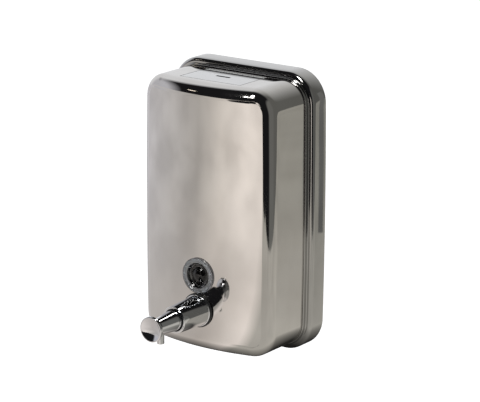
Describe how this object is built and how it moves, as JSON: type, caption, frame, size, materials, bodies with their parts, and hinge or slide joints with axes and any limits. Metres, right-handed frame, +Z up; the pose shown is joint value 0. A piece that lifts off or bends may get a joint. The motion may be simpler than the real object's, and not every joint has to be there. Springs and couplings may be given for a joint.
{
  "type": "wall mounted soap dispenser",
  "caption": "Wall mounted stainless liquid soap dispenser with a hinged filler lid, round contents window and push valve.",
  "frame": {"origin": "on the wall plane, at the centre of the four wall screw holes in the bracket", "axes": "+Z up, +Y into the wall, so the front faces -Y, +X to the viewer's right"},
  "size_m": [0.125, 0.1239, 0.2082],
  "materials": {
    "galvanised": "galvanised sheet, dull",
    "brushed_skirt": "stainless steel, polished with a fine brushed grain",
    "inner_steel": "stainless sheet, mill finish",
    "zinc_screw": "zinc plated, bright",
    "polished_shell": "stainless steel, mirror polished",
    "hinge_steel": "stainless steel, satin",
    "polished_lid": "stainless steel, mirror polished",
    "spring_steel": "spring steel",
    "grey_rubber": "soft silicone rubber, matte",
    "clear_lens": "clear acrylic, gloss",
    "white_plastic": "moulded acetal, satin",
    "black_rubber": "soft rubber, matte",
    "valve_chrome": "chrome plated, mirror bright",
    "cap_chrome": "chrome plated, mirror bright",
    "spout_steel": "stainless tube, bright",
    "brass": "turned brass",
    "ball_steel": "stainless ball, polished"
  },
  "bodies": {
    "case": {"wall_bracket": "galvanised", "rear_shell": "brushed_skirt", "tank_back": "inner_steel", "hanger_rail": "inner_steel", "lock_screw": "zinc_screw", "front_shell": "polished_shell", "filler_ledge": "inner_steel", "tank_leaf": "hinge_steel", "hinge_pin": "hinge_steel", "window_gasket": "grey_rubber", "window_lens": "clear_lens", "window_nut": "white_plastic", "valve_gasket": "black_rubber", "valve_barrel": "valve_chrome", "wiper_ring": "black_rubber", "inner_washer": "grey_rubber", "valve_nut": "brass", "pump_cylinder": "white_plastic", "spring_seat": "inner_steel", "return_spring": "spring_steel", "inlet_seat": "white_plastic", "suction_tube": "white_plastic"},
    "lid": {"filler_lid": "polished_lid", "lid_leaf": "hinge_steel", "latch_spring": "spring_steel", "latch_rivets": "zinc_screw"},
    "push_valve": {"plunger": "valve_chrome", "push_cap": "cap_chrome", "spout": "spout_steel", "piston": "white_plastic", "piston_seal": "black_rubber"},
    "outlet_check": {"outlet_ball": "ball_steel"},
    "inlet_check": {"inlet_ball": "ball_steel"}
  },
  "joints": [
    {"name": "lid_hinge", "type": "hinge", "parent": "case", "child": "lid", "pos_m": [0, -0.0244, 0.0962], "axis": [-1, 0, 0], "range_deg": [0, 105], "deforming": ["latch_spring"]},
    {"name": "push_slide", "type": "slide", "parent": "case", "child": "push_valve", "axis": [0, 1, 0], "range_m": [0, 0.011], "stiffness_N_per_m": 700, "springref_m": -0.008, "deforming": ["return_spring"]},
    {"name": "outlet_check_slide", "type": "slide", "parent": "push_valve", "child": "outlet_check", "axis": [0, -1, 0], "range_m": [0, 0.001]},
    {"name": "inlet_check_slide", "type": "slide", "parent": "case", "child": "inlet_check", "axis": [0, -1, 0], "range_m": [0, 0.0006]}
  ]
}
